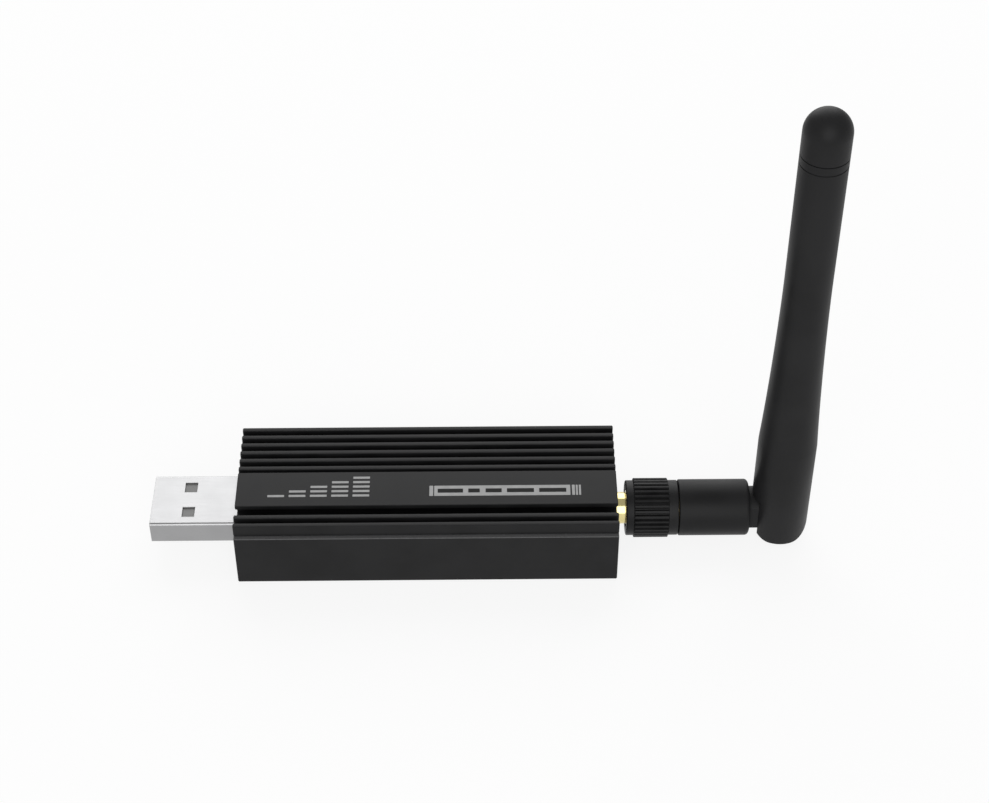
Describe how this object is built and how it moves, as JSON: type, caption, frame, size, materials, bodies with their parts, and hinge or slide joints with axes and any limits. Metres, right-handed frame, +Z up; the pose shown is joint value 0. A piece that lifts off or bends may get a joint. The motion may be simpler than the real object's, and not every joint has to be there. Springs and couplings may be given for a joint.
{
  "type": "smart home usb radio stick",
  "caption": "USB radio stick with a finned aluminium housing, a steel USB plug and a screw-on whip antenna that folds at a hinge and swivels.",
  "frame": {"origin": "centre of the housing's flat underside", "axes": "+X along the stick from the USB plug to the antenna, +Y across it towards the side with more fins, +Z up"},
  "size_m": [0.1156, 0.0254, 0.0909],
  "materials": {
    "anodised_black": "matt black anodised",
    "plate_black": "matt black anodised",
    "screw_black": "black oxide",
    "board_mask": "green solder mask",
    "plug_steel": "bright nickel plate",
    "plug_plastic": "moulded",
    "gold": "gold plated",
    "tin_plate": "tin plated",
    "chip_plastic": "moulded",
    "ferrite": "sintered",
    "ceramic_chip": "fired ceramic",
    "led_resin": "clear resin",
    "white_insulator": "turned",
    "nut_black": "black chrome plate",
    "spring_bronze": "rolled",
    "ferrule_brass": "turned",
    "cable_jacket": "extruded",
    "antenna_plastic": "satin moulded",
    "wire_copper": "drawn"
  },
  "bodies": {
    "housing": {"housing_extrusion": "anodised_black", "usb_end_plate": "plate_black", "antenna_end_plate": "plate_black", "end_plate_screws": "screw_black", "circuit_board": "board_mask", "usb_plug_shell": "plug_steel", "usb_plug_insulator": "plug_plastic", "usb_contacts": "gold", "radio_shield_can": "tin_plate", "radio_chip": "chip_plastic", "radio_crystal": "tin_plate", "usb_bridge_chip": "chip_plastic", "voltage_regulator": "chip_plastic", "power_inductor": "ferrite", "chip_capacitors": "ceramic_chip", "status_leds": "led_resin", "jack_body": "gold", "jack_dielectric": "white_insulator", "jack_contact": "gold"},
    "coupling": {"nut_retaining_ring": "spring_bronze"},
    "nut": {"coupling_nut": "nut_black"},
    "stem": {"connector_ferrule": "ferrule_brass", "antenna_pin": "gold", "stem_coax": "cable_jacket", "antenna_barrel": "antenna_plastic", "hinge_knuckle": "antenna_plastic"},
    "whip": {"whip_sleeve": "antenna_plastic", "tip_cap": "antenna_plastic", "radiator_tube": "ferrule_brass", "radiator_wire": "wire_copper", "whip_coax": "cable_jacket"}
  },
  "joints": [
    {"name": "antenna_unscrew", "type": "slide", "parent": "housing", "child": "coupling", "axis": [1, 0, 0], "range_m": [0, 0.00423]},
    {"name": "nut_turn", "type": "hinge", "parent": "coupling", "child": "nut", "pos_m": [0.0425, -0.00065, 0.00555], "axis": [1, 0, 0], "range_deg": [0, 2160]},
    {"name": "antenna_swivel", "type": "hinge", "parent": "coupling", "child": "stem", "pos_m": [0.0425, -0.00065, 0.00555], "axis": [1, 0, 0], "continuous": true},
    {"name": "whip_tilt", "type": "hinge", "parent": "stem", "child": "whip", "pos_m": [0.06225, -0.00065, 0.00555], "axis": [0, 1, 0], "range_deg": [0, 90]}
  ],
  "couplings": [
    {"joint": "nut_turn", "follows": "antenna_unscrew", "rad_per_m": 8905.3}
  ]
}
